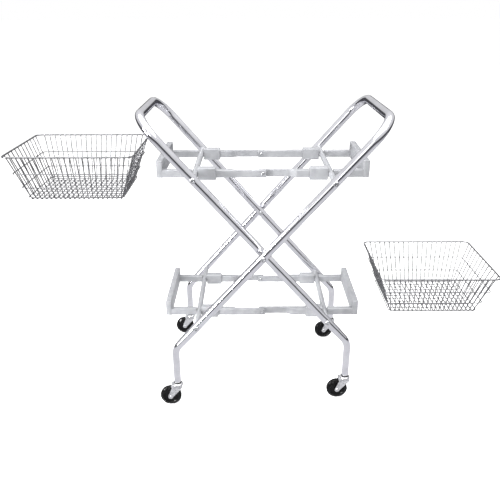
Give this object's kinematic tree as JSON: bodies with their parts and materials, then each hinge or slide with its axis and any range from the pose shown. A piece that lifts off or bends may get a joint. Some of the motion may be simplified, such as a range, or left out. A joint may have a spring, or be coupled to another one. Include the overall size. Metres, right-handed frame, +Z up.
{
  "type": "folding laundry cart",
  "caption": "Folding X-frame laundry cart with chrome U-shaped legs, folding racks on two levels, swivel casters and lift-off wire baskets.",
  "frame": {"origin": "on the floor, midway between the casters, under the middle of the frames", "axes": "+Z up, X along the racks with the outer frame's handle at +X, Y across the cart with the front leg of the outer frame at -Y"},
  "size_m": [1.65, 0.5206, 1.0303],
  "materials": {
    "chrome_tube": "polished",
    "silver_paint": "satin",
    "fastener_zinc": "satin",
    "caster_zinc": "gloss",
    "spacer_plastic": "matte",
    "wheel_black": "gloss",
    "basket_wire": "gloss"
  },
  "bodies": {
    "outer_frame": {"outer_frame_tube": "chrome_tube", "pivot_bolt_front": "fastener_zinc", "pivot_bolt_back": "fastener_zinc", "pivot_spacer_front": "spacer_plastic", "pivot_spacer_back": "spacer_plastic", "tie_bolt_upper_right": "fastener_zinc", "tie_bolt_lower_left": "fastener_zinc", "caster_stem_front_left": "caster_zinc", "caster_stem_back_left": "caster_zinc"},
    "inner_frame": {"inner_frame_tube": "chrome_tube", "tie_bolt_upper_left": "fastener_zinc", "tie_bolt_lower_right": "fastener_zinc", "caster_stem_front_right": "caster_zinc", "caster_stem_back_right": "caster_zinc"},
    "rack_upper_left": {"cross_tube_upper_left": "silver_paint", "end_frame_upper_left": "silver_paint", "rail_socket_upper_left_front": "silver_paint", "rail_upper_left_front": "silver_paint", "rail_socket_upper_left_back": "silver_paint", "rail_upper_left_back": "silver_paint", "centre_rivet_upper_front": "fastener_zinc"},
    "rack_upper_right": {"cross_tube_upper_right": "silver_paint", "end_frame_upper_right": "silver_paint", "rail_socket_upper_right_front": "silver_paint", "rail_upper_right_front": "silver_paint", "rail_socket_upper_right_back": "silver_paint", "rail_upper_right_back": "silver_paint", "centre_rivet_upper_back": "fastener_zinc"},
    "rack_lower_left": {"cross_tube_lower_left": "silver_paint", "end_frame_lower_left": "silver_paint", "rail_socket_lower_left_front": "silver_paint", "rail_lower_left_front": "silver_paint", "rail_socket_lower_left_back": "silver_paint", "rail_lower_left_back": "silver_paint", "centre_rivet_lower_front": "fastener_zinc"},
    "rack_lower_right": {"cross_tube_lower_right": "silver_paint", "end_frame_lower_right": "silver_paint", "rail_socket_lower_right_front": "silver_paint", "rail_lower_right_front": "silver_paint", "rail_socket_lower_right_back": "silver_paint", "rail_lower_right_back": "silver_paint", "centre_rivet_lower_back": "fastener_zinc"},
    "caster_front_left": {"caster_fork_front_left": "caster_zinc", "caster_axle_front_left": "caster_zinc"},
    "wheel_front_left": {"caster_wheel_front_left": "wheel_black"},
    "caster_front_right": {"caster_fork_front_right": "caster_zinc", "caster_axle_front_right": "caster_zinc"},
    "wheel_front_right": {"caster_wheel_front_right": "wheel_black"},
    "caster_back_left": {"caster_fork_back_left": "caster_zinc", "caster_axle_back_left": "caster_zinc"},
    "wheel_back_left": {"caster_wheel_back_left": "wheel_black"},
    "caster_back_right": {"caster_fork_back_right": "caster_zinc", "caster_axle_back_right": "caster_zinc"},
    "wheel_back_right": {"caster_wheel_back_right": "wheel_black"},
    "basket_left": {"basket_shell_left": "basket_wire", "basket_rim_left": "basket_wire"},
    "basket_right": {"basket_shell_right": "basket_wire", "basket_rim_right": "basket_wire"}
  },
  "joints": [
    {"name": "frame_fold", "type": "hinge", "parent": "outer_frame", "child": "inner_frame", "pos_m": [0, 0, 0.577], "axis": [0, 1, 0], "range_deg": [0, 62]},
    {"name": "rack_upper_left_turn", "type": "hinge", "parent": "inner_frame", "child": "rack_upper_left", "pos_m": [-0.21891, 0, 0.82794], "axis": [0, 1, 0], "range_deg": [-107, 0]},
    {"name": "rack_upper_right_turn", "type": "hinge", "parent": "outer_frame", "child": "rack_upper_right", "pos_m": [0.21891, 0, 0.82794], "axis": [0, 1, 0], "range_deg": [0, 107]},
    {"name": "rack_lower_left_turn", "type": "hinge", "parent": "outer_frame", "child": "rack_lower_left", "pos_m": [-0.22417, 0, 0.32004], "axis": [0, 1, 0], "range_deg": [-45, 0]},
    {"name": "rack_lower_right_turn", "type": "hinge", "parent": "inner_frame", "child": "rack_lower_right", "pos_m": [0.22417, 0, 0.32004], "axis": [0, 1, 0], "range_deg": [0, 45]},
    {"name": "caster_front_left_swivel", "type": "hinge", "parent": "outer_frame", "child": "caster_front_left", "pos_m": [-0.301, -0.241, 0.0905], "axis": [0, 0, 1], "continuous": true},
    {"name": "wheel_front_left_spin", "type": "hinge", "parent": "caster_front_left", "child": "wheel_front_left", "pos_m": [-0.3277, -0.241, 0.0375], "axis": [0, 1, 0], "continuous": true},
    {"name": "caster_front_right_swivel", "type": "hinge", "parent": "inner_frame", "child": "caster_front_right", "pos_m": [0.301, -0.203, 0.0905], "axis": [0, 0, 1], "continuous": true},
    {"name": "wheel_front_right_spin", "type": "hinge", "parent": "caster_front_right", "child": "wheel_front_right", "pos_m": [0.2743, -0.203, 0.0375], "axis": [0, 1, 0], "continuous": true},
    {"name": "caster_back_left_swivel", "type": "hinge", "parent": "outer_frame", "child": "caster_back_left", "pos_m": [-0.301, 0.241, 0.0905], "axis": [0, 0, 1], "continuous": true},
    {"name": "wheel_back_left_spin", "type": "hinge", "parent": "caster_back_left", "child": "wheel_back_left", "pos_m": [-0.3277, 0.241, 0.0375], "axis": [0, 1, 0], "continuous": true},
    {"name": "caster_back_right_swivel", "type": "hinge", "parent": "inner_frame", "child": "caster_back_right", "pos_m": [0.301, 0.203, 0.0905], "axis": [0, 0, 1], "continuous": true},
    {"name": "wheel_back_right_spin", "type": "hinge", "parent": "caster_back_right", "child": "wheel_back_right", "pos_m": [0.2743, 0.203, 0.0375], "axis": [0, 1, 0], "continuous": true},
    {"name": "basket_left_lift", "type": "slide", "parent": "outer_frame", "child": "basket_left", "axis": [0, 0, 1], "range_m": [0, 0.05]},
    {"name": "basket_right_lift", "type": "slide", "parent": "outer_frame", "child": "basket_right", "axis": [0, 0, 1], "range_m": [0, 0.05]}
  ],
  "couplings": [
    {"joint": "rack_upper_left_turn", "follows": "frame_fold", "ratio": -1.702},
    {"joint": "rack_upper_right_turn", "follows": "frame_fold", "ratio": 1.702},
    {"joint": "rack_lower_left_turn", "follows": "frame_fold", "ratio": -0.702},
    {"joint": "rack_lower_right_turn", "follows": "frame_fold", "ratio": 0.702}
  ]
}
